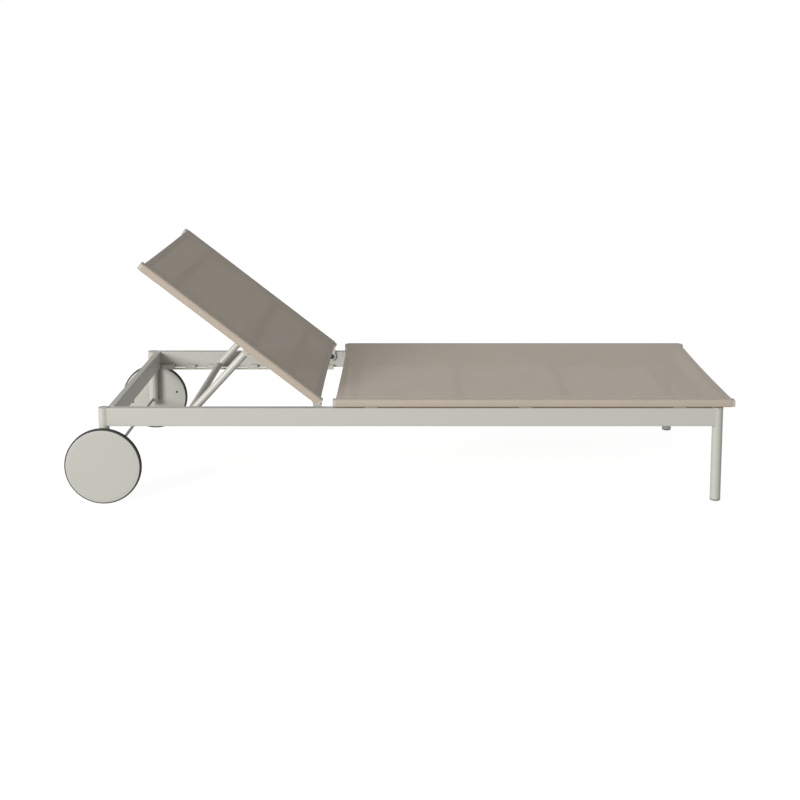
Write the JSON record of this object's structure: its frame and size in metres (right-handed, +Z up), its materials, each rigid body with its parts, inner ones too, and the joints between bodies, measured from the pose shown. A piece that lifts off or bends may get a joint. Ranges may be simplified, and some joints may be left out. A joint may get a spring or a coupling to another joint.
{
  "type": "reclining sun lounger",
  "caption": "Low sun lounger: rail frame on legs and wheels, stretched fabric seat, and a hinged fabric backrest held by a folding prop on toothed racks.",
  "frame": {"origin": "on the floor under the middle of the whole lounger", "axes": "+X to the foot end, +Y to the sleeper's left, +Z up"},
  "size_m": [2.0875, 0.848, 0.7586],
  "materials": {
    "frame_metal": "satin powder coat",
    "panel_metal": "satin powder coat",
    "plugs": "moulded, matt",
    "glide": "matt",
    "seat_cloth": "coated open mesh weave",
    "back_cloth": "coated open mesh weave",
    "wheel_cover": "satin",
    "wheel_core": "moulded",
    "tyre": "matt",
    "bush": "moulded",
    "axle_metal": "satin",
    "fixings": "satin"
  },
  "bodies": {
    "frame": {"side_rail_left": "frame_metal", "side_rail_right": "frame_metal", "front_leg_left": "frame_metal", "front_leg_right": "frame_metal", "rear_post_left": "frame_metal", "rear_post_right": "frame_metal", "head_crossbar": "frame_metal", "foot_crossbar": "frame_metal", "tube_top_plugs": "plugs", "rear_post_plugs": "plugs", "leg_glides": "glide", "rack_left": "frame_metal", "rack_right": "frame_metal", "rack_rivets": "fixings", "wheel_axle": "axle_metal", "axle_spacers": "fixings", "axle_clips": "fixings", "hinge_bolts": "fixings", "hinge_spacers": "fixings", "seat_side_left": "panel_metal", "seat_side_right": "panel_metal", "seat_end_caps": "plugs", "seat_crossbars": "panel_metal", "seat_fabric": "seat_cloth", "seat_pads": "glide", "seat_studs": "fixings"},
    "backrest": {"back_side_left": "panel_metal", "back_side_right": "panel_metal", "back_end_caps": "plugs", "back_crossbars": "panel_metal", "back_fabric": "back_cloth", "hinge_plate_left": "panel_metal", "hinge_plate_right": "panel_metal", "prop_ears": "panel_metal", "prop_pins": "fixings"},
    "prop": {"prop_arm_left": "panel_metal", "prop_arm_right": "panel_metal", "prop_bar": "panel_metal", "prop_end_pins": "axle_metal"},
    "wheel_left": {"wheel_hub_left": "wheel_core", "wheel_tyre_left": "tyre", "wheel_outer_cover_left": "wheel_cover", "wheel_inner_cover_left": "wheel_cover", "wheel_bush_left": "bush", "wheel_cover_screws_left": "fixings"},
    "wheel_right": {"wheel_hub_right": "wheel_core", "wheel_tyre_right": "tyre", "wheel_outer_cover_right": "wheel_cover", "wheel_inner_cover_right": "wheel_cover", "wheel_bush_right": "bush", "wheel_cover_screws_right": "fixings"}
  },
  "joints": [
    {"name": "backrest_tilt", "type": "hinge", "parent": "frame", "child": "backrest", "pos_m": [-0.25775, 0, 0.2845], "axis": [0, 1, 0], "range_deg": [-38.1, 16.8]},
    {"name": "prop_swing", "type": "hinge", "parent": "backrest", "child": "prop", "pos_m": [-0.47823, 0, 0.46844], "axis": [0, 1, 0], "range_deg": [-36.5, 82]},
    {"name": "wheel_left_spin", "type": "hinge", "parent": "frame", "child": "wheel_left", "pos_m": [-0.92375, 0.414, 0.12], "axis": [0, 1, 0], "continuous": true},
    {"name": "wheel_right_spin", "type": "hinge", "parent": "frame", "child": "wheel_right", "pos_m": [-0.92375, -0.414, 0.12], "axis": [0, 1, 0], "continuous": true}
  ],
  "couplings": [
    {"joint": "prop_swing", "follows": "backrest_tilt", "ratio": -2.146}
  ]
}
